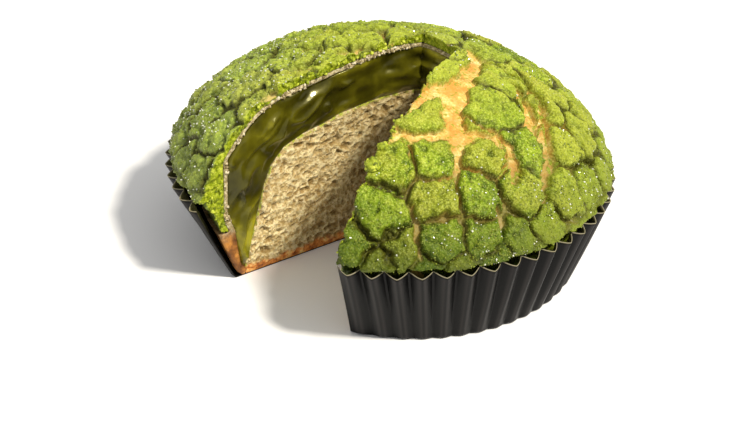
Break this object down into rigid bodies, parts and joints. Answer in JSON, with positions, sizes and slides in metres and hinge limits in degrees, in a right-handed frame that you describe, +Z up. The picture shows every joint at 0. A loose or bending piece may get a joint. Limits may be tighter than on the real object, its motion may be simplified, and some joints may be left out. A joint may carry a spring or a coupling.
{
  "type": "bun",
  "caption": "Round dome-shaped bun in a pleated paper case, with a cracked sugar-cookie crust in raised plates and one slice cut out to show its cream layer and crumb.",
  "frame": {"origin": "centre of the case's rim circle in plan, at the height of the surface that the bun stands on", "axes": "+Z up; -Y towards the viewer; the cut-out slice opens towards -X-Y"},
  "size_m": [0.0998, 0.0998, 0.0473],
  "materials": {
    "case": "black pleated baking paper, thin and slightly waxy",
    "bread": "open beige crumb, browned underneath",
    "cream": "smooth wet green custard cream",
    "crust": "grainy green cookie dough with sugar crystals, golden in the cracks"
  },
  "bodies": {
    "root": {"paper_case": "case", "bread": "bread", "cream": "cream", "cookie_crust": "crust"}
  },
  "joints": []
}
